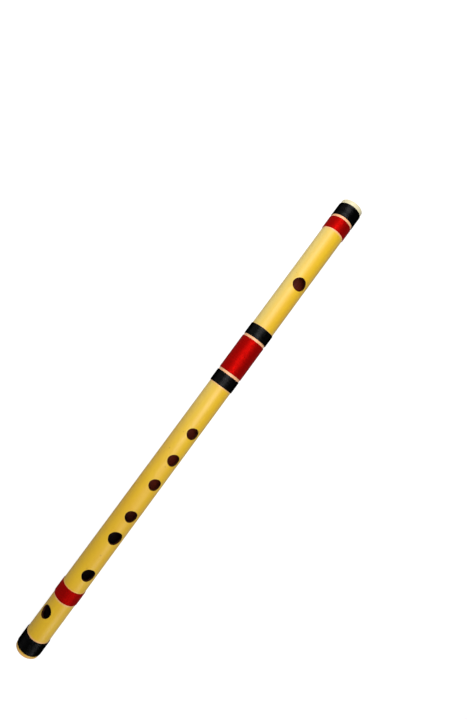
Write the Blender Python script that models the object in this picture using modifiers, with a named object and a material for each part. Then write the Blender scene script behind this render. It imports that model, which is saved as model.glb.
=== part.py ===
"""A bansuri, the side-blown bamboo flute, in metres.

The flute lies along X with its blow end towards +X, its finger holes up and its vent hole turned towards +Y.
The origin is the middle of its length, on the surface that it rests on. Each station is a distance from the
foot end, and each turn is an angle about the flute's axis, from the top towards +Y.
"""

import math
from typing import NamedTuple

import bpy
import bmesh

MM = 0.001

# The bamboo tube
TUBE_LENGTH = 482.6 * MM
TUBE_DIAMETER = 22.0 * MM
TUBE_WALL = 2.4 * MM
RIM_ROUND = 0.5 * MM
FACETS = 48

# The blow hole, and the vent hole below the finger holes
BLOW_STATION = 391.4 * MM
BLOW_DIAMETER = 12.3 * MM
BLOW_TURN = math.radians(7.7)
VENT_STATION = 38.1 * MM
VENT_DIAMETER = 10.3 * MM
VENT_TURN = math.radians(58.5)
HOLE_SIDES = 24

# The thread bindings: how thick the thread lies, how wide each band is, and where its group starts
BLACK_THICKNESS = 0.55 * MM
RED_THICKNESS = 0.45 * MM
BINDING_SHOULDER = 0.3 * MM
BINDING_CLEARANCE = 0.05 * MM
BARE_STRIP = 2.4 * MM
FOOT_RIM = 2.8 * MM
FOOT_BLACK_WIDTH = 12.4 * MM
FOOT_RED_STATION = 52.8 * MM
FOOT_RED_WIDTH = 12.0 * MM
MIDDLE_STATION = 276.8 * MM
MIDDLE_LOWER_BLACK_WIDTH = 11.7 * MM
MIDDLE_RED_WIDTH = 35.4 * MM
MIDDLE_UPPER_BLACK_WIDTH = 11.5 * MM
HEAD_RED_WIDTH = 12.2 * MM
HEAD_BLACK_WIDTH = 12.8 * MM
HEAD_RIM = 4.3 * MM

# The cork stopper that closes the bore beyond the blow hole
STOPPER_SETBACK = 14.0 * MM
STOPPER_LENGTH = 20.0 * MM
STOPPER_CLEARANCE = 0.05 * MM
STOPPER_ROUND = 0.6 * MM

# How the round pieces are drawn
ROUND_STEPS = 2
SEAM_MERGE = 0.00001
SHARP_ANGLE = math.radians(35)

TUBE_RADIUS = TUBE_DIAMETER / 2
BORE_RADIUS = TUBE_RADIUS - TUBE_WALL
FACET_ANGLE = 2 * math.pi / FACETS
AXIS_HEIGHT = (TUBE_RADIUS + BLACK_THICKNESS) * math.cos(FACET_ANGLE / 2)


class Hole(NamedTuple):
    """A round hole drilled towards the axis."""

    name: str
    station: float
    diameter: float
    turn: float


class Binding(NamedTuple):
    """A band of thread wound round the tube, from its foot side to its head side."""

    name: str
    station: float
    width: float
    thickness: float
    colour: str


def finger_holes():
    """The six finger holes, from the one nearest the foot."""
    return (
        Hole("finger_hole_6", 82.1 * MM, 10.9 * MM, math.radians(-3)),
        Hole("finger_hole_5", 119.6 * MM, 11.7 * MM, math.radians(-1.5)),
        Hole("finger_hole_4", 141.8 * MM, 10.4 * MM, math.radians(-1.5)),
        Hole("finger_hole_3", 174.9 * MM, 10.5 * MM, math.radians(-3)),
        Hole("finger_hole_2", 200.8 * MM, 10.7 * MM, math.radians(-6.5)),
        Hole("finger_hole_1", 228.8 * MM, 10.5 * MM, math.radians(-5.5)),
    )


def bindings():
    """The seven bands, with one bare strip between neighbours of a group."""
    middle_red = MIDDLE_STATION + MIDDLE_LOWER_BLACK_WIDTH + BARE_STRIP
    middle_upper = middle_red + MIDDLE_RED_WIDTH + BARE_STRIP
    head_black = TUBE_LENGTH - HEAD_RIM - HEAD_BLACK_WIDTH
    head_red = head_black - BARE_STRIP - HEAD_RED_WIDTH
    black = (BLACK_THICKNESS, "black_thread")
    red = (RED_THICKNESS, "red_thread")
    return (
        Binding("foot_black_binding", FOOT_RIM, FOOT_BLACK_WIDTH, *black),
        Binding("foot_red_binding", FOOT_RED_STATION, FOOT_RED_WIDTH, *red),
        Binding("middle_lower_black_binding", MIDDLE_STATION, MIDDLE_LOWER_BLACK_WIDTH, *black),
        Binding("middle_red_binding", middle_red, MIDDLE_RED_WIDTH, *red),
        Binding("middle_upper_black_binding", middle_upper, MIDDLE_UPPER_BLACK_WIDTH, *black),
        Binding("head_red_binding", head_red, HEAD_RED_WIDTH, *red),
        Binding("head_black_binding", head_black, HEAD_BLACK_WIDTH, *black),
    )


def clear_scene():
    for obj in list(bpy.data.objects):
        bpy.data.objects.remove(obj, do_unlink=True)


def new_collection(name, shown):
    collection = bpy.data.collections.new(name)
    collection.hide_render = not shown
    bpy.context.scene.collection.children.link(collection)
    return collection


def finish(name, colour, roughness, coat):
    """A plain finish: its colour, how rough it is and how much varnish lies on it."""
    material = bpy.data.materials.new(name)
    material.use_nodes = True
    shader = material.node_tree.nodes["Principled BSDF"]
    shader.inputs["Base Color"].default_value = (*colour, 1.0)
    shader.inputs["Roughness"].default_value = roughness
    shader.inputs["Metallic"].default_value = 0.0
    shader.inputs["Coat Weight"].default_value = coat
    return material


def finishes():
    return {
        "bamboo": finish("golden_bamboo", (0.70, 0.40, 0.06), 0.38, 0.3),
        "black_thread": finish("black_thread", (0.006, 0.006, 0.007), 0.42, 0.2),
        "red_thread": finish("red_thread", (0.42, 0.006, 0.006), 0.42, 0.2),
        "cork": finish("stopper_cork", (0.36, 0.21, 0.10), 0.85, 0.0),
    }


def quarter_turn(radius, station, bend, start):
    """Points of a rounded corner about (radius, station), clockwise from the angle start."""
    angles = [start - math.pi / 2 * step / ROUND_STEPS for step in range(ROUND_STEPS + 1)]
    return [(radius + bend * math.cos(angle), station + bend * math.sin(angle)) for angle in angles]


def ring_profile(inner, outer, length, bend):
    """The closed cross-section of a sleeve, (radius, station), down its outer side from the far end."""
    points = quarter_turn(outer - bend, length - bend, bend, math.pi / 2)
    points += quarter_turn(outer - bend, bend, bend, 0.0)
    return points + [(inner, 0.0), (inner, length)]


def plug_profile(radius, length, bend):
    """The open cross-section of a solid plug, which starts and ends on the axis."""
    points = [(0.0, length)]
    points += quarter_turn(radius - bend, length - bend, bend, math.pi / 2)
    points += quarter_turn(radius - bend, bend, bend, 0.0)
    return points + [(0.0, 0.0)]


def turned(name, profile, closed, place, material):
    """A piece turned about the flute's axis. Its facets lie as those of every other turned piece do.

    place is (collection, parent, station of its foot side).
    """
    collection, parent, station = place
    mesh = bpy.data.meshes.new(name)
    edges = [(corner, corner + 1) for corner in range(len(profile) - 1)]
    if closed:
        edges.append((len(profile) - 1, 0))
    mesh.from_pydata([(radius, 0.0, height) for radius, height in profile], edges, [])
    piece = bpy.data.objects.new(name, mesh)
    collection.objects.link(piece)
    piece.parent = parent
    piece.location = (0.0, 0.0, station)
    piece.rotation_euler = (0.0, 0.0, FACET_ANGLE / 2)
    screw = piece.modifiers.new("turn", "SCREW")
    screw.steps = FACETS
    screw.render_steps = FACETS
    screw.use_merge_vertices = True
    screw.merge_threshold = SEAM_MERGE
    mesh.materials.append(material)
    return piece


def hole_cutter(hole, collection, parent):
    """A drill from the flute's axis out through one wall."""
    reach = 2 * TUBE_RADIUS
    mesh = bpy.data.meshes.new(hole.name)
    drill = bmesh.new()
    bmesh.ops.create_cone(
        drill,
        cap_ends=True,
        segments=HOLE_SIDES,
        radius1=hole.diameter / 2,
        radius2=hole.diameter / 2,
        depth=reach,
    )
    bmesh.ops.translate(drill, verts=drill.verts, vec=(0.0, 0.0, reach / 2))
    drill.to_mesh(mesh)
    drill.free()
    cutter = bpy.data.objects.new(hole.name, mesh)
    collection.objects.link(cutter)
    cutter.parent = parent
    cutter.location = (0.0, 0.0, hole.station)
    cutter.rotation_euler = (0.0, math.pi / 2, math.pi - hole.turn)
    cutter.hide_render = True
    cutter.display_type = "WIRE"
    return cutter


def settle(piece):
    """Makes a piece's modifiers its mesh, and shades it smooth up to its sharp edges."""
    bpy.context.view_layer.update()
    evaluated = piece.evaluated_get(bpy.context.evaluated_depsgraph_get())
    mesh = bpy.data.meshes.new_from_object(evaluated)
    mesh.name = piece.name
    piece.modifiers.clear()
    piece.data = mesh
    mesh.shade_smooth()
    mesh.set_sharp_from_angle(angle=SHARP_ANGLE)


def build_tube(parts, cutters, axis, material):
    profile = ring_profile(BORE_RADIUS, TUBE_RADIUS, TUBE_LENGTH, RIM_ROUND)
    tube = turned("bamboo_tube", profile, True, (parts, axis, 0.0), material)
    holes = (
        Hole("vent_hole", VENT_STATION, VENT_DIAMETER, VENT_TURN),
        *finger_holes(),
        Hole("blow_hole", BLOW_STATION, BLOW_DIAMETER, BLOW_TURN),
    )
    for hole in holes:
        cut = tube.modifiers.new(hole.name, "BOOLEAN")
        cut.operation = "DIFFERENCE"
        cut.object = hole_cutter(hole, cutters, axis)
    settle(tube)


def build_bindings(parts, axis, looks):
    inner = TUBE_RADIUS + BINDING_CLEARANCE
    for band in bindings():
        profile = ring_profile(inner, TUBE_RADIUS + band.thickness, band.width, BINDING_SHOULDER)
        settle(turned(band.name, profile, True, (parts, axis, band.station), looks[band.colour]))


def build_stopper(parts, axis, material):
    profile = plug_profile(BORE_RADIUS - STOPPER_CLEARANCE, STOPPER_LENGTH, STOPPER_ROUND)
    station = BLOW_STATION + STOPPER_SETBACK
    settle(turned("tuning_stopper", profile, False, (parts, axis, station), material))


def main():
    clear_scene()
    parts = new_collection("bansuri", shown=True)
    cutters = new_collection("hole_cutters", shown=False)
    looks = finishes()
    axis = bpy.data.objects.new("flute_axis", None)
    parts.objects.link(axis)
    axis.location = (-TUBE_LENGTH / 2, 0.0, AXIS_HEIGHT)
    axis.rotation_euler = (0.0, math.pi / 2, 0.0)
    build_tube(parts, cutters, axis, looks["bamboo"])
    build_bindings(parts, axis, looks)
    build_stopper(parts, axis, looks["cork"])


main()
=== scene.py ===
"""The looks of a bansuri, a side-blown bamboo flute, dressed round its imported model.

The flute lies along X with its blow end towards +X, its finger holes up and its vent hole turned towards
+Y. A station is a distance from the foot end, and a turn is an angle about the flute's axis, from the top
towards +Y. Every length is in metres.
"""

import logging
import math
from dataclasses import dataclass, field
from enum import Enum
from typing import Any, Callable

import bmesh
import bpy
from mathutils import Matrix, Vector, noise


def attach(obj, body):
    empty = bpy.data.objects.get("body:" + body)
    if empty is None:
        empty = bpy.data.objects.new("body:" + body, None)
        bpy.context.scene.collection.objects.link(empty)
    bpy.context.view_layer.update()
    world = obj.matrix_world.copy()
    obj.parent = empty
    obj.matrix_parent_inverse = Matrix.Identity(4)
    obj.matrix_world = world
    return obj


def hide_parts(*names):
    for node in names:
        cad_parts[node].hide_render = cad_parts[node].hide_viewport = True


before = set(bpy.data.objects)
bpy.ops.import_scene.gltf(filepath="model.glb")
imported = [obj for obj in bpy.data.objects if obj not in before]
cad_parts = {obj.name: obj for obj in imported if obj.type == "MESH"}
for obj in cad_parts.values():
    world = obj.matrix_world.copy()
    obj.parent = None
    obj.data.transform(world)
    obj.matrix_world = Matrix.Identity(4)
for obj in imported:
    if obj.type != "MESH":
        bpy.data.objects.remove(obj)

log = logging.getLogger("bansuri")

MM = 0.001

Colour = tuple[float, float, float]
Point = tuple[float, float, float]


class Body(Enum):
    """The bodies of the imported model."""

    FLUTE = "flute"
    STOPPER = "stopper"


class Slot(Enum):
    """The record's material slots."""

    BAMBOO = "golden_bamboo"
    CORK = "stopper_cork"
    BLACK_THREAD = "black_thread"
    RED_THREAD = "red_thread"


@dataclass(frozen=True)
class Bamboo:
    """The main sizes of the bamboo tube."""

    length: float = 482.6 * MM
    radius: float = 11.0 * MM
    bore: float = 8.6 * MM
    axis_height: float = 11.5253 * MM


BAMBOO = Bamboo()


class Bench:
    """A node tree that is being wired."""

    def __init__(self, tree: bpy.types.NodeTree) -> None:
        """Takes the tree to wire."""
        self.tree = tree

    def feed(self, socket: bpy.types.NodeSocket, value: Any) -> None:
        """Joins a socket to another one, or sets its value.

        Args:
            socket: the input to feed.
            value: a socket, a number, a colour or a vector.
        """
        if isinstance(value, bpy.types.NodeSocket):
            self.tree.links.new(value, socket)
        elif socket.type == "RGBA":
            socket.default_value = (*value[:3], 1.0)
        else:
            socket.default_value = value

    def add(self, kind: str, inputs: dict[str | int, Any] | None = None, **options: Any) -> bpy.types.Node:
        """Adds a node.

        Args:
            kind: the node's type, without its ShaderNode prefix.
            inputs: what goes into its sockets, by name or number.
            options: the node's own settings.

        Returns:
            The new node.
        """
        node = self.tree.nodes.new("ShaderNode" + kind)
        for name, value in options.items():
            setattr(node, name, value)
        for name, value in (inputs or {}).items():
            self.feed(node.inputs[name], value)
        return node

    def math(self, operation: str, *values: Any) -> bpy.types.NodeSocket:
        """The result of a Math node with these values."""
        return self.add("Math", dict(enumerate(values)), operation=operation).outputs[0]

    def spread(
        self, value: Any, low: float, high: float, to: tuple[float, float] = (0.0, 1.0)
    ) -> bpy.types.NodeSocket:
        """Maps a value from low..high to the range of to, and holds it there."""
        limits = {"Value": value, "From Min": low, "From Max": high, "To Min": to[0], "To Max": to[1]}
        return self.add("MapRange", limits, clamp=True).outputs["Result"]

    def mix(self, share: Any, first: Any, second: Any, way: str = "MIX") -> bpy.types.NodeSocket:
        """Mixes two colours.

        Args:
            share: how much of the second one is used.
            first: a colour or a colour socket.
            second: a colour or a colour socket.
            way: the Mix node's blend type.

        Returns:
            The mixed colour.
        """
        node = self.add("Mix", {0: share, 6: first, 7: second}, data_type="RGBA", blend_type=way)
        return node.outputs[2]

    def steps(self, value: Any, stops: list[tuple[float, float]]) -> bpy.types.NodeSocket:
        """A ramp of greys through these (position, level) stops."""
        node = self.add("ValToRGB", {"Fac": value})
        band = node.color_ramp
        while len(band.elements) < len(stops):
            band.elements.new(1.0)
        for element, (position, level) in zip(band.elements, stops):
            element.position = position
            element.color = (level, level, level, 1.0)
        return node.outputs["Color"]

    def bump(self, height: Any, strength: float, depth: float) -> bpy.types.NodeSocket:
        """The normal of a surface with this relief.

        Args:
            height: the relief, from 0 to 1.
            strength: how strongly it shows.
            depth: how deep a relief of 1 is, in metres.

        Returns:
            The bent normal.
        """
        return self.add("Bump", {"Height": height, "Strength": strength, "Distance": depth}).outputs["Normal"]

    def axis_place(self) -> bpy.types.NodeSocket:
        """Object coordinates measured from the flute's axis."""
        place = self.add("TexCoord").outputs["Object"]
        centred = self.add("Mapping", {"Vector": place, "Location": (0.0, 0.0, -BAMBOO.axis_height)})
        return centred.outputs["Vector"]


def shared_group(
    name: str, takes: dict[str, str], gives: list[str], wire: Callable[..., None]
) -> bpy.types.NodeTree:
    """A node group that is built once and used in several finishes.

    Args:
        name: the group's name.
        takes: its inputs, each with its kind of socket.
        gives: its outputs, all values.
        wire: a function that wires the group's inside.

    Returns:
        The group.
    """
    made = bpy.data.node_groups.get(name)
    if made:
        return made
    made = bpy.data.node_groups.new(name, "ShaderNodeTree")
    for title, kind in takes.items():
        made.interface.new_socket(title, in_out="INPUT", socket_type="NodeSocket" + kind)
    for title in gives:
        made.interface.new_socket(title, in_out="OUTPUT", socket_type="NodeSocketFloat")
    bench = Bench(made)
    entry = made.nodes.new("NodeGroupInput")
    leave = made.nodes.new("NodeGroupOutput")
    wire(bench, entry.outputs, leave.inputs)
    return made


def fibre_group() -> bpy.types.NodeTree:
    """Straight bamboo fibres and the slow changes of tone between them."""

    def wire(bench: Bench, takes: Any, gives: Any) -> None:
        stretch = bench.add("CombineXYZ", {"X": takes["Along"], "Y": takes["Across"], "Z": takes["Across"]})
        both = {0: takes["Vector"], 1: stretch.outputs[0]}
        drawn = bench.add("VectorMath", both, operation="MULTIPLY").outputs[0]
        fine = bench.add("TexNoise", {"Vector": drawn, "Scale": 1.0, "Detail": 3.0, "Roughness": 0.6})
        coarse = bench.add("TexNoise", {"Vector": drawn, "Scale": 0.13, "Detail": 2.0, "Roughness": 0.5})
        cloud = bench.add("TexNoise", {"Vector": takes["Vector"], "Scale": takes["Cloud"], "Detail": 2.0})
        bench.feed(gives["Streak"], bench.spread(fine.outputs["Fac"], 0.3, 0.7))
        bench.feed(gives["Band"], bench.spread(coarse.outputs["Fac"], 0.35, 0.65))
        bench.feed(gives["Mottle"], bench.spread(cloud.outputs["Fac"], 0.35, 0.65))

    takes = {"Vector": "Vector", "Along": "Float", "Across": "Float", "Cloud": "Float"}
    return shared_group("bamboo_fibres", takes, ["Streak", "Band", "Mottle"], wire)


def fleck_group() -> bpy.types.NodeTree:
    """Small cells with a tone of their own, and the few of them that are dark flecks."""

    def wire(bench: Bench, takes: Any, gives: Any) -> None:
        cells = bench.add("TexVoronoi", {"Vector": takes["Vector"], "Scale": takes["Scale"]}, feature="F1")
        tone = bench.add("SeparateColor", {"Color": cells.outputs["Color"]})
        near = bench.spread(cells.outputs["Distance"], 0.10, 0.28, (1.0, 0.0))
        chosen = bench.math("GREATER_THAN", tone.outputs[0], takes["Rarity"])
        bench.feed(gives["Tone"], tone.outputs[1])
        bench.feed(gives["Fleck"], bench.math("MULTIPLY", near, chosen))
        bench.feed(gives["Seam"], bench.spread(cells.outputs["Distance"], 0.35, 0.75))

    takes = {"Vector": "Vector", "Scale": "Float", "Rarity": "Float"}
    return shared_group("flecks", takes, ["Tone", "Fleck", "Seam"], wire)


def winding_group() -> bpy.types.NodeTree:
    """The tone of each turn of thread, its twisted plies, and the unevenness of the lacquer over it."""

    def wire(bench: Bench, takes: Any, gives: Any) -> None:
        part = bench.add("SeparateXYZ", {"Vector": takes["Vector"]})
        bearing = bench.math("ARCTAN2", part.outputs["Y"], part.outputs["Z"])
        share = bench.math("DIVIDE", bearing, 2 * math.pi)
        turns = bench.math("SUBTRACT", bench.math("DIVIDE", part.outputs["X"], takes["Pitch"]), share)
        count = bench.math("FLOOR", turns)
        tone = bench.add("TexWhiteNoise", {"W": count}, noise_dimensions="1D").outputs["Value"]
        winds = bench.math("MULTIPLY", turns, 2 * math.pi)
        slant = bench.math("MULTIPLY_ADD", bearing, takes["Plies"], winds)
        twist = bench.math("MULTIPLY_ADD", bench.math("SINE", slant), 0.5, 0.5)
        skin = bench.add("TexNoise", {"Vector": takes["Vector"], "Scale": takes["Grain"], "Detail": 2.0})
        bench.feed(gives["Tone"], tone)
        bench.feed(gives["Twist"], twist)
        bench.feed(gives["Lacquer"], bench.spread(skin.outputs["Fac"], 0.3, 0.7))

    takes = {"Vector": "Vector", "Pitch": "Float", "Plies": "Float", "Grain": "Float"}
    return shared_group("wound_thread", takes, ["Tone", "Twist", "Lacquer"], wire)


def new_finish(name: str) -> tuple[bpy.types.Material, Bench, bpy.types.Node]:
    """A new material, its bench and its Principled shader."""
    material = bpy.data.materials.new(name)
    material.use_nodes = True
    bench = Bench(material.node_tree)
    return material, bench, material.node_tree.nodes["Principled BSDF"]


@dataclass(frozen=True)
class BambooSkin:
    """Golden bamboo under a satin varnish, left pale beside and between the bindings, with a painted sheen
    that pales its +Y side towards the head.
    """

    name: str = "golden_bamboo_skin"
    golden: Colour = (0.78, 0.50, 0.009)
    honey: Colour = (0.74, 0.43, 0.006)
    # Painted sheen: a paler colour that stands in for the lamps' broad reflection.
    pale: Colour = (0.87, 0.46, 0.225)
    painted_sheen: Colour = (0.77, 0.58, 0.15)
    raw: Colour = (0.76, 0.70, 0.46)
    scorch: Colour = (0.035, 0.010, 0.004)
    fleck: Colour = (0.30, 0.15, 0.02)
    roughness: float = 0.46
    varnish: float = 0.50
    varnish_roughness: float = 0.40
    streaks: float = 0.14
    flecks: float = 0.45
    edge: float = 0.25 * MM
    raw_reach: float = 5.0 * MM

    def pale_stops(self, zones: list[tuple[float, float]]) -> list[tuple[float, float]]:
        """The ramp that is 1 in the pale zones, along the flute from 0 to 1.

        Args:
            zones: the first and last station of each pale zone.

        Returns:
            Its (position, level) stops.
        """
        stops = []
        for low, high in zones:
            stops += [(low - self.edge, 0.0), (low + self.edge, 1.0)]
            stops += [(high - self.edge, 1.0), (high + self.edge, 0.0)]
        inside = [(place / BAMBOO.length, level) for place, level in stops if 0.0 < place < BAMBOO.length]
        return [(0.0, 1.0), *inside, (1.0, 1.0)]

    def make(self, zones: list[tuple[float, float]]) -> bpy.types.Material:
        """Wires the skin.

        Args:
            zones: the stations between which the bamboo keeps its pale colour.

        Returns:
            The material.
        """
        material, bench, shader = new_finish(self.name)
        place = bench.axis_place()
        grown = {"Vector": place, "Along": 22.0, "Across": 2600.0, "Cloud": 26.0}
        fibres = bench.add("Group", grown, node_tree=fibre_group())
        spots = {"Vector": place, "Scale": 330.0, "Rarity": 0.965}
        flecks = bench.add("Group", spots, node_tree=fleck_group())
        banded = bench.math("MULTIPLY", fibres.outputs["Band"], 0.30)
        tone = bench.math("MULTIPLY_ADD", fibres.outputs["Mottle"], 0.55, banded)
        colour = bench.mix(tone, self.golden, self.honey)
        part = bench.add("SeparateXYZ", {"Vector": place})
        station = part.outputs["X"]
        along = bench.math("MULTIPLY_ADD", station, 1.0 / BAMBOO.length, 0.5)
        # Painted sheen: the +Y side of the head half is paled, standing in for the broad reflection of the
        # lamps.
        sheen_mask = bench.spread(part.outputs["Y"], 0.45 * BAMBOO.radius, 0.92 * BAMBOO.radius)
        sheen_mask = bench.math("MULTIPLY", sheen_mask, bench.spread(along, 0.36, 0.72))
        colour = bench.mix(sheen_mask, colour, self.painted_sheen)
        bare = bench.steps(along, self.pale_stops(zones))
        colour = bench.mix(bare, colour, self.pale)
        lip = bench.math("GREATER_THAN", station, BAMBOO.length / 2 - self.raw_reach)
        colour = bench.mix(lip, colour, self.raw)
        streaked = bench.math("MULTIPLY", fibres.outputs["Streak"], self.streaks)
        colour = bench.mix(streaked, colour, self.honey, "MULTIPLY")
        flecked = bench.math("MULTIPLY", flecks.outputs["Fleck"], self.flecks)
        colour = bench.mix(flecked, colour, self.fleck)
        burnt = bench.add("Attribute", attribute_name="scorch").outputs["Fac"]
        colour = bench.mix(burnt, colour, self.scorch)
        bench.feed(shader.inputs["Base Color"], colour)
        rough = bench.math("MULTIPLY_ADD", fibres.outputs["Mottle"], 0.08, self.roughness)
        bench.feed(shader.inputs["Roughness"], rough)
        shader.inputs["Coat Weight"].default_value = self.varnish
        shader.inputs["Coat Roughness"].default_value = self.varnish_roughness
        bench.feed(shader.inputs["Normal"], bench.bump(fibres.outputs["Streak"], 0.25, 0.03 * MM))
        return material


@dataclass(frozen=True)
class BurntBamboo:
    """The wall of a hole, burnt brown by the hot rod that made it."""

    name: str = "burnt_hole_wall"
    brown: Colour = (0.075, 0.018, 0.003)
    char: Colour = (0.016, 0.005, 0.003)

    def make(self) -> bpy.types.Material:
        """Wires the burnt wall."""
        material, bench, shader = new_finish(self.name)
        grown = {"Vector": bench.axis_place(), "Along": 60.0, "Across": 1500.0, "Cloud": 500.0}
        fibres = bench.add("Group", grown, node_tree=fibre_group())
        share = bench.math("MULTIPLY", fibres.outputs["Mottle"], 0.8)
        bench.feed(shader.inputs["Base Color"], bench.mix(share, self.brown, self.char))
        bench.feed(shader.inputs["Roughness"], bench.spread(fibres.outputs["Streak"], 0.0, 1.0, (0.5, 0.7)))
        shader.inputs["Specular IOR Level"].default_value = 0.25
        bench.feed(shader.inputs["Normal"], bench.bump(fibres.outputs["Mottle"], 0.4, 0.05 * MM))
        return material


@dataclass(frozen=True)
class BoreWall:
    """The inside of the tube: bare at its mouth, then stained red brown, then dark, and near black towards
    the foot as painted shade.
    """

    name: str = "stained_bore"
    bare: Colour = (0.86, 0.53, 0.18)
    stain: Colour = (0.32, 0.080, 0.016)
    dark: Colour = (0.165, 0.021, 0.008)
    # Painted shade: the near-black colour of the bore towards the foot.
    shade_black: Colour = (0.010, 0.003, 0.002)
    bare_depth: float = 1.9 * MM
    stain_depth: float = 6.0 * MM
    shade_end: float = 150.0 * MM
    shade_fade: float = 25.0 * MM
    streaks: float = 0.35

    def make(self) -> bpy.types.Material:
        """Wires the bore."""
        material, bench, shader = new_finish(self.name)
        place = bench.axis_place()
        grown = {"Vector": place, "Along": 40.0, "Across": 1200.0, "Cloud": 220.0}
        fibres = bench.add("Group", grown, node_tree=fibre_group())
        station = bench.add("SeparateXYZ", {"Vector": place}).outputs["X"]
        depth = bench.math("SUBTRACT", BAMBOO.length / 2, bench.math("ABSOLUTE", station))
        ragged = bench.math("MULTIPLY_ADD", fibres.outputs["Mottle"], 0.5 * MM, depth)
        first = bench.spread(ragged, self.bare_depth, self.bare_depth + 0.9 * MM)
        second = bench.spread(ragged, self.bare_depth + 1.0 * MM, self.stain_depth)
        colour = bench.mix(first, self.bare, self.stain)
        # Painted shade: from the foot to about 150 mm the bore turns near black, standing in for the shade
        # seen through the foot holes.
        limit = self.shade_end - BAMBOO.length / 2
        foot_shade = bench.spread(station, limit - self.shade_fade, limit, (1.0, 0.0))
        colour = bench.mix(second, colour, bench.mix(foot_shade, self.dark, self.shade_black))
        streaked = bench.math("MULTIPLY", fibres.outputs["Streak"], self.streaks)
        colour = bench.mix(streaked, colour, self.stain, "MULTIPLY")
        bench.feed(shader.inputs["Base Color"], colour)
        bench.feed(shader.inputs["Roughness"], bench.spread(fibres.outputs["Streak"], 0.0, 1.0, (0.5, 0.7)))
        shader.inputs["Specular IOR Level"].default_value = 0.2
        bench.feed(shader.inputs["Normal"], bench.bump(fibres.outputs["Streak"], 0.5, 0.05 * MM))
        return material


@dataclass(frozen=True)
class EndGrain:
    """The sawn end of the tube, charred below, toasted at its side and brown at the bore's edge on top."""

    name: str = "scorched_end_grain"
    tan: Colour = (0.66, 0.40, 0.12)
    toasted: Colour = (0.19, 0.115, 0.050)
    charred: Colour = (0.009, 0.004, 0.002)
    brown: Colour = (0.085, 0.030, 0.008)
    dot: Colour = (0.16, 0.06, 0.02)

    def make(self) -> bpy.types.Material:
        """Wires the end grain."""
        material, bench, shader = new_finish(self.name)
        place = bench.axis_place()
        spots = {"Vector": place, "Scale": 2300.0, "Rarity": 0.45}
        flecks = bench.add("Group", spots, node_tree=fleck_group())
        part = bench.add("SeparateXYZ", {"Vector": place})
        flat = bench.add("CombineXYZ", {"Y": part.outputs["Y"], "Z": part.outputs["Z"]}).outputs[0]
        reach = bench.add("VectorMath", {0: flat}, operation="LENGTH").outputs["Value"]
        smoke = bench.add("TexNoise", {"Vector": place, "Scale": 190.0, "Detail": 2.0}).outputs["Fac"]
        ragged = bench.math("MULTIPLY_ADD", bench.math("SUBTRACT", smoke, 0.5), 0.7 * MM, reach)
        upward = bench.math("DIVIDE", part.outputs["Z"], reach)
        across = bench.math("DIVIDE", part.outputs["Y"], reach)
        above = bench.math("MULTIPLY_ADD", upward, 0.8, bench.math("MULTIPLY", across, 0.6))
        hard = bench.spread(bench.math("MULTIPLY_ADD", smoke, 0.2, above), -0.25, 0.30, (1.0, 0.0))
        singed = bench.mix(hard, self.toasted, self.charred)
        outer = bench.spread(ragged, BAMBOO.bore + 0.45 * MM, BAMBOO.bore + 1.0 * MM)
        top = bench.spread(upward, 0.45, 0.90)
        colour = bench.mix(bench.math("MULTIPLY", flecks.outputs["Fleck"], 0.5), self.tan, self.dot)
        colour = bench.mix(bench.math("MULTIPLY", outer, bench.math("SUBTRACT", 1.0, top)), colour, singed)
        inner = bench.spread(ragged, BAMBOO.bore + 0.4 * MM, BAMBOO.radius, (1.0, 0.0))
        colour = bench.mix(bench.math("MULTIPLY", top, inner), colour, self.brown)
        bench.feed(shader.inputs["Base Color"], colour)
        shader.inputs["Roughness"].default_value = 0.62
        shader.inputs["Specular IOR Level"].default_value = 0.25
        bench.feed(shader.inputs["Normal"], bench.bump(flecks.outputs["Tone"], 0.4, 0.05 * MM))
        return material


@dataclass(frozen=True)
class WoundThread:
    """Fine thread wound close and lacquered over."""

    name: str
    slot: Slot
    deep: Colour
    lit: Colour
    roughness: float
    shine: float
    tint: Colour
    silk: float
    grain: float
    relief: float
    pitch: float = 0.4 * MM
    plies: float = 260.0

    def make(self) -> bpy.types.Material:
        """Wires the thread and its lacquer."""
        material, bench, shader = new_finish(self.name)
        wound = {"Vector": bench.axis_place(), "Pitch": self.pitch, "Plies": self.plies, "Grain": self.grain}
        winding = bench.add("Group", wound, node_tree=winding_group())
        colour = bench.mix(winding.outputs["Tone"], self.deep, self.lit)
        bench.feed(shader.inputs["Base Color"], colour)
        worn = (self.roughness - 0.08, self.roughness + 0.10)
        rough = bench.spread(winding.outputs["Lacquer"], 0.0, 1.0, worn)
        bench.feed(shader.inputs["Roughness"], rough)
        shader.inputs["Specular IOR Level"].default_value = self.shine
        bench.feed(shader.inputs["Specular Tint"], self.tint)
        shader.inputs["Metallic"].default_value = self.silk
        height = bench.math("MULTIPLY_ADD", winding.outputs["Twist"], 0.15, winding.outputs["Lacquer"])
        bench.feed(shader.inputs["Normal"], bench.bump(height, self.relief, 0.10 * MM))
        return material


@dataclass(frozen=True)
class Cork:
    """Cork pressed from granules, with dark pores."""

    name: str = "granular_cork"
    light: Colour = (0.47, 0.29, 0.14)
    dark: Colour = (0.27, 0.14, 0.06)
    pore: Colour = (0.06, 0.03, 0.015)

    def make(self) -> bpy.types.Material:
        """Wires the cork."""
        material, bench, shader = new_finish(self.name)
        pressed = {"Vector": bench.axis_place(), "Scale": 620.0, "Rarity": 0.80}
        granules = bench.add("Group", pressed, node_tree=fleck_group())
        colour = bench.mix(granules.outputs["Tone"], self.light, self.dark)
        colour = bench.mix(bench.math("MULTIPLY", granules.outputs["Seam"], 0.5), colour, self.dark)
        bench.feed(shader.inputs["Base Color"], bench.mix(granules.outputs["Fleck"], colour, self.pore))
        shader.inputs["Roughness"].default_value = 0.85
        sunk = bench.math("MAXIMUM", granules.outputs["Fleck"], granules.outputs["Seam"])
        relief = bench.math("SUBTRACT", 1.0, sunk)
        bench.feed(shader.inputs["Normal"], bench.bump(relief, 0.6, 0.15 * MM))
        return material


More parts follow.
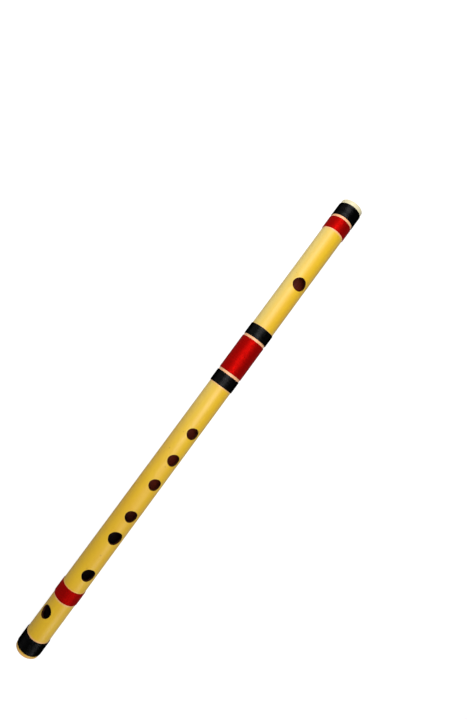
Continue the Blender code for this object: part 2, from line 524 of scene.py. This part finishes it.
@dataclass(frozen=True)
class Piece:
    """A finished piece: its name, the body it rides on, the imported part it stands for and its material
    slot.
    """

    name: str
    body: Body
    stands_for: str
    slot: Slot

    def settle(self, work: bmesh.types.BMesh, finishes: list[bpy.types.Material]) -> bpy.types.Object:
        """Turns a finished bmesh into an object that rides on its body.

        Args:
            work: the piece's shape, in its place. It is freed.
            finishes: the piece's materials, in the order of its faces' numbers.

        Returns:
            The object.
        """
        mesh = bpy.data.meshes.new(self.name)
        bmesh.ops.recalc_face_normals(work, faces=work.faces)
        work.to_mesh(mesh)
        work.free()
        mesh.shade_smooth()
        for finish in finishes:
            mesh.materials.append(finish)
        piece = bpy.data.objects.new(self.name, mesh)
        bpy.context.scene.collection.objects.link(piece)
        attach(piece, self.body.value)
        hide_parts(self.stands_for)
        triangles = sum(len(face.vertices) - 2 for face in mesh.polygons)
        log.info("%s rides on %s with %d triangles", self.name, self.body.value, triangles)
        return piece


def to_flute(work: bmesh.types.BMesh) -> None:
    """Moves a shape made about the X axis, from station 0, to where the flute lies."""
    bmesh.ops.translate(work, verts=work.verts, vec=(-BAMBOO.length / 2, 0.0, BAMBOO.axis_height))


def rounding(bend: float, steps: int) -> list[tuple[float, float]]:
    """Points round a rounded edge, from the surface it leaves to the wall below.

    Args:
        bend: the edge's radius.
        steps: how many steps the points make.

    Returns:
        Each point's distance out from the wall, and its depth below the surface.
    """
    angles = [math.pi / 2 * step / steps for step in range(steps + 1)]
    return [(bend * (1 - math.sin(angle)), bend * (1 - math.cos(angle))) for angle in angles]


def open_edge(work: bmesh.types.BMesh, place: float, weld: float) -> list[bmesh.types.BMEdge]:
    """The open edges of a shape at this x.

    Args:
        work: the shape.
        place: where the edges lie along X.
        weld: how far from there their ends may be.

    Returns:
        The edges.
    """
    return [
        edge
        for edge in work.edges
        if edge.is_boundary and all(abs(vert.co.x - place) < weld for vert in edge.verts)
    ]


def grow_edge(
    work: bmesh.types.BMesh, edge: list[bmesh.types.BMEdge]
) -> tuple[set[bmesh.types.BMVert], list[bmesh.types.BMEdge], list[bmesh.types.BMFace]]:
    """Extrudes an open edge in its place.

    Args:
        work: the shape.
        edge: the edges to extrude.

    Returns:
        The new vertices, the edges that join them, and the new faces.
    """
    grown = bmesh.ops.extrude_edge_only(work, edges=edge)["geom"]
    verts = {item for item in grown if isinstance(item, bmesh.types.BMVert)}
    edges = [item for item in grown if isinstance(item, bmesh.types.BMEdge)]
    faces = [item for item in grown if isinstance(item, bmesh.types.BMFace)]
    return verts, [item for item in edges if verts.issuperset(item.verts)], faces


@dataclass(frozen=True)
class DrilledHole:
    """A round hole drilled towards the flute's axis."""

    station: float
    diameter: float
    turn: float


@dataclass
class BambooTube:
    """The bamboo: its skin, its bore, its eight holes and its two sawn ends."""

    holes: tuple[DrilledHole, ...] = (
        DrilledHole(38.1 * MM, 10.3 * MM, math.radians(58.5)),
        DrilledHole(82.1 * MM, 10.9 * MM, math.radians(-3)),
        DrilledHole(119.6 * MM, 11.7 * MM, math.radians(-1.5)),
        DrilledHole(141.8 * MM, 10.4 * MM, math.radians(-1.5)),
        DrilledHole(174.9 * MM, 10.5 * MM, math.radians(-3)),
        DrilledHole(200.8 * MM, 10.7 * MM, math.radians(-6.5)),
        DrilledHole(228.8 * MM, 10.5 * MM, math.radians(-5.5)),
        DrilledHole(391.4 * MM, 12.3 * MM, math.radians(7.7)),
    )
    rows: int = 480
    columns: int = 72
    end_round: float = 0.5 * MM
    mouth_round: float = 0.3 * MM
    hole_round: float = 0.35 * MM
    hole_foot: float = 0.25 * MM
    unevenness: float = 0.09 * MM
    least_scorched: float = math.radians(37)
    ripple_along: float = 22.0
    ripple_around: float = 1.1
    cleared_along: float = 2.2 * MM
    cleared_around: float = 0.12
    weld: float = 0.01 * MM
    skin: int = 0
    wall: int = 1
    bore: int = 2
    grain: int = 3

    def sheet(self, radius: float, margin: float) -> bmesh.types.BMesh:
        """A flat sheet of the tube, on which x is the station, y the turn and z the distance from the axis.

        Args:
            radius: the distance from the axis at which the sheet will lie.
            margin: how far it stops short of both ends.

        Returns:
            The sheet.
        """
        flat = bmesh.new()
        flat.verts.layers.float.new("scorch")
        bmesh.ops.create_grid(flat, x_segments=self.rows, y_segments=self.columns, size=0.5)
        bmesh.ops.scale(flat, vec=(BAMBOO.length - 2 * margin, 2 * math.pi, 1.0), verts=flat.verts)
        bmesh.ops.translate(flat, vec=(BAMBOO.length / 2, 0.0, radius), verts=flat.verts)
        return flat

    def draw_rings(
        self,
        flat: bmesh.types.BMesh,
        edge: list[bmesh.types.BMEdge],
        rings: list[tuple[float, float, float]],
        place: Callable[[Vector, float, float], Point],
        number: int,
    ) -> list[bmesh.types.BMEdge]:
        """Extends an open edge ring by ring.

        Args:
            flat: the sheet.
            edge: the edges to start from.
            rings: the two measures that place gives a ring by, and how scorched it is.
            place: where a vertex of the ring goes, from where it was and the two measures.
            number: the material number of the new faces.

        Returns:
            The edges of the last ring.
        """
        scorch = flat.verts.layers.float["scorch"]
        for first, second, burnt in rings:
            verts, edge, faces = grow_edge(flat, edge)
            for face in faces:
                face.material_index = number
            for vert in verts:
                vert.co = place(vert.co, first, second)
                vert[scorch] = burnt
        return edge

    def open_hole(
        self,
        flat: bmesh.types.BMesh,
        hole: DrilledHole,
        stages: list[tuple[int, list[tuple[float, float, float]]]],
    ) -> None:
        """Takes away the cells over a hole and draws the open edge in to its round shape.

        Args:
            flat: the sheet.
            hole: the hole.
            stages: a material number and its rings, each (distance from the drill's axis, distance from the
                flute's axis, how scorched it is).
        """
        half = hole.diameter / 2
        along = half + self.cleared_along
        around = math.asin((half + self.hole_foot) / BAMBOO.bore) + self.cleared_around
        cells = []
        for face in flat.faces:
            centre = face.calc_center_median()
            if abs(centre.x - hole.station) < along and abs(centre.y - hole.turn) < around:
                cells.append(face)
        chosen = set(cells)
        sides = {item for face in cells for item in face.edges}
        edge = [item for item in sides if len(chosen.intersection(item.link_faces)) == 1]
        edge.sort(key=lambda item: item.index)
        bmesh.ops.delete(flat, geom=cells, context="FACES")
        started = False

        def place(spot: Vector, reach: float, height: float) -> Point:
            across = (spot.z if started else BAMBOO.radius) * math.sin(spot.y - hole.turn)
            bearing = math.atan2(across, spot.x - hole.station)
            turn = hole.turn + math.asin(reach * math.sin(bearing) / height)
            return (hole.station + reach * math.cos(bearing), turn, height)

        for number, rings in stages:
            for ring in rings:
                edge = self.draw_rings(flat, edge, [ring], place, number)
                started = True

    def outer_sheet(self) -> bmesh.types.BMesh:
        """The skin, with the walls of its holes and the faces of its two ends."""
        flat = self.sheet(BAMBOO.radius, self.end_round)
        outer = BAMBOO.radius
        inner = BAMBOO.bore
        rim = rounding(self.hole_round, 3)
        foot = rounding(self.hole_foot, 2)
        span = outer - inner - self.hole_round - self.hole_foot
        for hole in self.holes:
            half = hole.diameter / 2
            skin = [(half + reach, outer, 0.0) for reach in (1.5 * MM, 0.8 * MM, rim[0][0])]
            skin.append((half + rim[1][0], outer - rim[1][1], 0.55))
            wall = [(half + reach, outer - depth, 1.0) for reach, depth in rim[2:]]
            wall += [(half, outer - self.hole_round - span * share, 1.0) for share in (0.33, 0.67)]
            wall += [(half + reach, inner + depth, 1.0) for reach, depth in reversed(foot)]
            self.open_hole(flat, hole, [(self.skin, skin), (self.wall, wall)])
        for end, inwards in ((0.0, 1.0), (BAMBOO.length, -1.0)):
            self.close_end(flat, end, inwards)
        return flat

    def close_end(self, flat: bmesh.types.BMesh, end: float, inwards: float) -> None:
        """Rounds an end of the skin and carries it over the sawn face to the bore.

        Args:
            flat: the outer sheet.
            end: the end's station.
            inwards: 1 where the tube lies at higher stations, and -1 where it lies at lower ones.
        """
        start = end + inwards * self.end_round
        edge = open_edge(flat, start, self.weld)

        def place(spot: Vector, depth: float, height: float) -> Point:
            return (end + inwards * depth, spot.y, height)

        rim = [
            (reach, BAMBOO.radius - depth, 0.5 * step)
            for step, (reach, depth) in enumerate(rounding(self.end_round, 3)[1:])
        ]
        edge = self.draw_rings(flat, edge, rim, place, self.skin)
        low = BAMBOO.bore + self.mouth_round
        high = BAMBOO.radius - self.end_round
        face = [(0.0, high + (low - high) * share, 0.0) for share in (0.12, 0.5, 0.88, 1.0)]
        edge = self.draw_rings(flat, edge, face, place, self.grain)
        mouth = [(depth, BAMBOO.bore + reach, 0.0) for reach, depth in rounding(self.mouth_round, 3)[1:]]
        self.draw_rings(flat, edge, mouth, place, self.bore)

    def bore_sheet(self) -> bmesh.types.BMesh:
        """The bore, with the feet of its holes."""
        flat = self.sheet(BAMBOO.bore, self.mouth_round)
        for face in flat.faces:
            face.material_index = self.bore
        for hole in self.holes:
            ring = (hole.diameter / 2 + self.hole_foot, BAMBOO.bore, 0.0)
            self.open_hole(flat, hole, [(self.bore, [ring])])
        return flat

    def wrap(self, spot: Vector) -> Point:
        """Where a point of a flat sheet lies once the sheet is rolled into the tube."""
        share = (spot.z - BAMBOO.bore) / (BAMBOO.radius - BAMBOO.bore)
        upward = self.ripple_around * math.cos(spot.y)
        across = self.ripple_around * math.sin(spot.y)
        ripple = noise.noise(Vector((spot.x * self.ripple_along, upward, across)))
        reach = spot.z - self.unevenness * share * (0.5 + 0.5 * ripple)
        return (spot.x, reach * math.sin(spot.y), reach * math.cos(spot.y))

    def build(self, zones: list[tuple[float, float]]) -> bpy.types.Object:
        """Rolls the two sheets into one closed tube and dresses it.

        Args:
            zones: the stations between which the skin keeps its pale colour.

        Returns:
            The finished piece.
        """
        tube = self.outer_sheet()
        inner = self.bore_sheet()
        spare = bpy.data.meshes.new("bore_sheet")
        inner.to_mesh(spare)
        inner.free()
        tube.from_mesh(spare)
        bpy.data.meshes.remove(spare)
        scorch = tube.verts.layers.float["scorch"]
        for vert in tube.verts:
            if min(vert.co.x, BAMBOO.length - vert.co.x) < self.end_round - self.weld:
                vert[scorch] *= 0.5 - 0.5 * math.cos(vert.co.y - self.least_scorched)
            vert.co = self.wrap(vert.co)
        bmesh.ops.remove_doubles(tube, verts=tube.verts, dist=self.weld)
        to_flute(tube)
        finishes = [BambooSkin().make(zones), BurntBamboo().make(), BoreWall().make(), EndGrain().make()]
        return Piece("bamboo_flute_tube", Body.FLUTE, "bamboo_tube", Slot.BAMBOO).settle(tube, finishes)


@dataclass(frozen=True)
class ThreadBand:
    """One band of thread wound round the tube."""

    node: str
    station: float
    width: float
    outer: float

    @property
    def end(self) -> float:
        """The station of its head side."""
        return self.station + self.width


@dataclass
class ThreadBindings:
    """The seven bands of thread, with a bare strip between neighbours of a group."""

    black_outer: float = 11.525 * MM
    red_outer: float = 11.45 * MM
    black_lip: float = 0.4 * MM
    red_lip: float = 0.8 * MM
    sunk: float = 10.85 * MM
    groove: float = 0.07 * MM
    shoulder: float = 0.3 * MM
    facets: int = 96
    samples: int = 6
    early_turns: float = 1.37
    weld: float = 0.002 * MM
    black: WoundThread = field(
        default_factory=lambda: WoundThread(
            "black_thread_winding",
            Slot.BLACK_THREAD,
            (0.009, 0.009, 0.010),
            (0.015, 0.015, 0.015),
            roughness=0.20,
            shine=0.5,
            tint=(0.05, 0.05, 0.05),
            silk=1.0,
            grain=2600.0,
            relief=0.50,
        )
    )
    red: WoundThread = field(
        default_factory=lambda: WoundThread(
            "red_thread_winding",
            Slot.RED_THREAD,
            (0.41, 0.0022, 0.0015),
            (0.46, 0.0034, 0.0022),
            roughness=0.50,
            shine=0.20,
            tint=(0.15, 0.01, 0.01),
            silk=0.72,
            grain=700.0,
            relief=0.12,
        )
    )

    def bands(self) -> list[tuple[ThreadBand, WoundThread]]:
        """Every band, from the foot, with its thread."""
        return [
            (ThreadBand("foot_black_binding", 2.8 * MM, 12.4 * MM, self.black_outer), self.black),
            (ThreadBand("foot_red_binding", 52.8 * MM, 12.0 * MM, self.red_outer), self.red),
            (ThreadBand("middle_lower_black_binding", 276.8 * MM, 11.7 * MM, self.black_outer), self.black),
            (ThreadBand("middle_red_binding", 290.9 * MM, 35.4 * MM, self.red_outer), self.red),
            (ThreadBand("middle_upper_black_binding", 328.7 * MM, 11.5 * MM, self.black_outer), self.black),
            (ThreadBand("head_red_binding", 450.9 * MM, 12.2 * MM, self.red_outer), self.red),
            (ThreadBand("head_black_binding", 465.5 * MM, 12.8 * MM, self.black_outer), self.black),
        ]

    def pale_zones(self) -> list[tuple[float, float]]:
        """The stations between which the bamboo stays pale: each group of bands and a lip beside it."""
        lips = {self.black.name: self.black_lip, self.red.name: self.red_lip}
        zones = []
        for band, thread in self.bands():
            lip = lips[thread.name]
            zones.append((band.station - lip, band.end + lip))
        groups = [(0, 0), (1, 1), (2, 4), (5, 6)]
        return [(zones[first][0], zones[last][1]) for first, last in groups]

    def crest(self, outer: float, share: float) -> float:
        """How far a thread's surface is from the axis, from one groove (0) to the next (1)."""
        across = 2 * share - 1
        return outer - self.groove * (1 - math.sqrt(max(0.0, 1 - across * across)))

    def wind(self, band: ThreadBand, pitch: float) -> bmesh.types.BMesh:
        """Winds a band's thread round the X axis and trims it square at both ends.

        Args:
            band: the band.
            pitch: how far apart its turns lie.

        Returns:
            The open winding, from 0 to the band's width along X.
        """
        winding = bmesh.new()
        shares = [step / self.samples for step in range(self.samples + 1)]
        arc = [winding.verts.new((pitch * share, 0.0, self.crest(band.outer, share))) for share in shares]
        line = [winding.edges.new(pair) for pair in zip(arc, arc[1:])]
        bmesh.ops.spin(
            winding,
            geom=arc + line,
            axis=(1.0, 0.0, 0.0),
            dvec=(pitch / self.facets, 0.0, 0.0),
            angle=2 * math.pi,
            steps=self.facets,
        )
        length = pitch
        while length < band.width + 3 * pitch:
            whole = winding.verts[:] + winding.edges[:] + winding.faces[:]
            copied = bmesh.ops.duplicate(winding, geom=whole)["geom"]
            moved = [item for item in copied if isinstance(item, bmesh.types.BMVert)]
            bmesh.ops.translate(winding, verts=moved, vec=(length, 0.0, 0.0))
            length *= 2
        bmesh.ops.remove_doubles(winding, verts=winding.verts, dist=self.weld)
        bmesh.ops.translate(winding, verts=winding.verts, vec=(-self.early_turns * pitch, 0.0, 0.0))
        for place, side in ((0.0, -1.0), (band.width, 1.0)):
            whole = winding.verts[:] + winding.edges[:] + winding.faces[:]
            bmesh.ops.bisect_plane(
                winding, geom=whole, plane_co=(place, 0.0, 0.0), plane_no=(side, 0.0, 0.0), clear_outer=True
            )
        return winding

    def close(self, winding: bmesh.types.BMesh, band: ThreadBand) -> None:
        """Rounds a winding's shoulders, and closes it below the bamboo's surface.

        Args:
            winding: the open winding.
            band: the band.
        """
        for vert in winding.verts:
            inside = min(vert.co.x, band.width - vert.co.x)
            if inside < self.shoulder:
                short = self.shoulder - inside
                drop = self.shoulder - math.sqrt(max(0.0, self.shoulder**2 - short**2))
                keep = 1 - drop / math.hypot(vert.co.y, vert.co.z)
                vert.co = (vert.co.x, vert.co.y * keep, vert.co.z * keep)
        inner_edges = []
        for place in (0.0, band.width):
            verts, edge, _ = grow_edge(winding, open_edge(winding, place, self.weld))
            for vert in verts:
                shrink = self.sunk / math.hypot(vert.co.y, vert.co.z)
                vert.co = (place, vert.co.y * shrink, vert.co.z * shrink)
            inner_edges += edge
        bmesh.ops.bridge_loops(winding, edges=inner_edges)

    def build(self) -> list[bpy.types.Object]:
        """Winds and dresses every band.

        Returns:
            The finished pieces.
        """
        finishes = {thread.name: thread.make() for thread in (self.black, self.red)}
        pieces = []
        for band, thread in self.bands():
            winding = self.wind(band, thread.pitch)
            self.close(winding, band)
            bmesh.ops.translate(winding, verts=winding.verts, vec=(band.station, 0.0, 0.0))
            to_flute(winding)
            name = band.node.replace("binding", "thread_winding")
            piece = Piece(name, Body.FLUTE, band.node, thread.slot)
            pieces.append(piece.settle(winding, [finishes[thread.name]]))
        return pieces


@dataclass
class TuningStopper:
    """The cork that closes the bore beyond the blow hole."""

    station: float = 405.4 * MM
    length: float = 20.0 * MM
    radius: float = 8.55 * MM
    bend: float = 0.6 * MM
    facets: int = 96
    pit: float = 0.12 * MM
    pits_scale: float = 700.0

    def profile(self) -> list[Point]:
        """Half of its outline, from the middle of one face to the middle of the other."""
        steps = 16
        face = [self.radius * step / steps for step in range(steps)]
        bends = [math.pi / 2 * step / 4 for step in range(5)]
        flat = [(0.0, 0.0, reach) for reach in face if reach < self.radius - self.bend]
        corner = [
            (self.bend * (1 - math.sin(bend)), 0.0, self.radius - self.bend * (1 - math.cos(bend)))
            for bend in reversed(bends)
        ]
        side = [(self.length * step / 32, 0.0, self.radius) for step in range(2, 17)]
        near = flat + corner + side
        far = [(self.length - along, 0.0, reach) for along, _, reach in reversed(near[:-1])]
        return near + far

    def build(self) -> bpy.types.Object:
        """Turns, pits and dresses the cork.

        Returns:
            The finished piece.
        """
        plug = bmesh.new()
        outline = [plug.verts.new(point) for point in self.profile()]
        line = [plug.edges.new(pair) for pair in zip(outline, outline[1:])]
        bmesh.ops.spin(
            plug,
            geom=outline + line,
            axis=(1.0, 0.0, 0.0),
            angle=2 * math.pi,
            steps=self.facets,
            use_merge=True,
        )
        bmesh.ops.remove_doubles(plug, verts=plug.verts, dist=0.005 * MM)
        centre = Vector((self.length / 2, 0.0, 0.0))
        for vert in plug.verts:
            depth = self.pit * max(0.0, noise.noise(vert.co * self.pits_scale))
            vert.co += (centre - vert.co).normalized() * depth
        bmesh.ops.translate(plug, verts=plug.verts, vec=(self.station, 0.0, 0.0))
        to_flute(plug)
        piece = Piece("cork_tuning_stopper", Body.STOPPER, "tuning_stopper", Slot.CORK)
        return piece.settle(plug, [Cork().make()])


@dataclass(frozen=True)
class PhotoCamera:
    """The camera of the photograph's full view, found from the bands, the holes and the outline."""

    location: Point = (0.03342, 0.16139, 0.36659)
    turn: Point = (-11.5502, -21.2919, -50.5762)
    lens: float = 21.674

    def build(self) -> bpy.types.Object:
        """Sets up the scene's camera."""
        data = bpy.data.cameras.new("photo_camera")
        data.lens = self.lens
        data.clip_start = 0.01
        camera = bpy.data.objects.new("photo_camera", data)
        camera.location = self.location
        camera.rotation_euler = [math.radians(angle) for angle in self.turn]
        bpy.context.scene.collection.objects.link(camera)
        bpy.context.scene.camera = camera
        return camera


@dataclass(frozen=True)
class StripLamp:
    """A long soft lamp with an even face, hung between two points and turned towards the flute."""

    name: str
    head_end: Point
    foot_end: Point
    width: float
    radiance: float

    def build(self) -> bpy.types.Object:
        """Hangs the lamp so that its face looks square at the flute's axis."""
        run = Vector(self.head_end) - Vector(self.foot_end)
        along = run.normalized()
        middle = (Vector(self.head_end) + Vector(self.foot_end)) / 2
        above = middle - Vector((0.0, 0.0, BAMBOO.axis_height))
        back = Vector((above.dot(along) / along.x, 0.0, 0.0))
        facing = (above - back).normalized()
        stance = Matrix((along, facing.cross(along), facing)).transposed().to_4x4()
        data = bpy.data.lights.new(self.name, "AREA")
        data.shape = "RECTANGLE"
        data.size = run.length
        data.size_y = self.width
        data.energy = self.radiance * math.pi * run.length * self.width
        lamp = bpy.data.objects.new(self.name, data)
        lamp.matrix_world = Matrix.Translation(middle) @ stance
        bpy.context.scene.collection.objects.link(lamp)
        return lamp


@dataclass
class Studio:
    """A white floor and surround, and two soft lamps."""

    floor_side: float = 8.0
    lamps: tuple[StripLamp, ...] = (
        StripLamp("head_strip", (0.62, 0.51, 0.38), (-0.10, 0.05, 0.50), 0.22, 6.4),
        StripLamp("foot_strip", (-0.20, -0.08, 0.50), (-0.70, -0.44, 0.46), 0.16, 3.8),
    )
    surround: float = 0.22
    beside: float = 0.60
    overhead: float = 0.10
    mirrored_floor: float = 0.2
    real_grey: float = 0.38
    shown_grey: float = 0.28
    near_glow: float = 0.90
    far_glow: float = 0.95

    def rays(self, bench: Bench) -> tuple[bpy.types.NodeSocket, bpy.types.NodeSocket]:
        """1 for the camera's rays, and 1 for the rays of mirrors, gloss and glass."""
        path = bench.add("LightPath")
        mirrored = bench.math("MAXIMUM", path.outputs["Is Glossy Ray"], path.outputs["Is Transmission Ray"])
        return path.outputs["Is Camera Ray"], mirrored

    def build_floor(self) -> bpy.types.Object:
        """Lays the white floor, which keeps a soft shadow."""
        work = bmesh.new()
        bmesh.ops.create_grid(work, x_segments=1, y_segments=1, size=self.floor_side / 2)
        mesh = bpy.data.meshes.new("studio_floor")
        work.to_mesh(mesh)
        work.free()
        material = bpy.data.materials.new("studio_floor_white")
        material.use_nodes = True
        bench = Bench(material.node_tree)
        material.node_tree.nodes.remove(material.node_tree.nodes["Principled BSDF"])
        real = bench.add("BsdfDiffuse", {"Color": (self.real_grey,) * 3}).outputs[0]
        faint = bench.add("BsdfDiffuse", {"Color": (self.shown_grey,) * 3}).outputs[0]
        place = bench.add("TexCoord").outputs["Object"]
        reach = bench.add("VectorMath", {0: place}, operation="LENGTH").outputs["Value"]
        level = bench.spread(reach, 0.5, 1.5, (self.near_glow, self.far_glow))
        glow = bench.add("Emission", {"Color": (1.0, 1.0, 1.0), "Strength": level}).outputs[0]
        shown = bench.add("AddShader", {0: faint, 1: glow}).outputs[0]
        camera, mirrored = self.rays(bench)
        seen = bench.math("MULTIPLY_ADD", mirrored, self.mirrored_floor, camera)
        both = bench.add("MixShader", {0: seen, 1: real, 2: shown}).outputs[0]
        bench.feed(material.node_tree.nodes["Material Output"].inputs["Surface"], both)
        mesh.materials.append(material)
        floor = bpy.data.objects.new("studio_floor", mesh)
        bpy.context.scene.collection.objects.link(floor)
        return floor

    def build_surround(self) -> None:
        """Lights the object from all round, and shows white behind it. Overhead, its reflection is darker."""
        world = bpy.data.worlds.new("studio_surround")
        world.use_nodes = True
        bpy.context.scene.world = world
        bench = Bench(world.node_tree)
        light = world.node_tree.nodes["Background"]
        light.inputs["Color"].default_value = (1.0, 1.0, 1.0, 1.0)
        height = bench.add("SeparateXYZ", {"Vector": bench.add("TexCoord").outputs["Generated"]}).outputs["Z"]
        mirror_level = bench.spread(height, 0.1, 0.5, (self.beside, self.overhead))
        camera, mirrored = self.rays(bench)
        level = bench.math("MULTIPLY_ADD", camera, 1.0 - self.surround, self.surround)
        extra = bench.math("MULTIPLY", mirrored, bench.math("SUBTRACT", mirror_level, self.surround))
        bench.feed(light.inputs["Strength"], bench.math("ADD", level, extra))

    def build(self) -> None:
        """Sets up floor, surround, lamps and view."""
        self.build_floor()
        self.build_surround()
        for lamp in self.lamps:
            lamp.build()
            log.info("lamp %s at a radiance of %.1f", lamp.name, lamp.radiance)
        bpy.context.scene.view_settings.view_transform = "Standard"


def main() -> None:
    """Builds the studio and every piece."""
    logging.basicConfig(level=logging.INFO, format="%(message)s")
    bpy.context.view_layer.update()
    PhotoCamera().build()
    Studio().build()
    bindings = ThreadBindings()
    BambooTube().build(bindings.pale_zones())
    for piece in bindings.build():
        log.info("wound %s", piece.name)
    TuningStopper().build()
    bpy.context.view_layer.update()


if __name__ == "__main__":
    main()
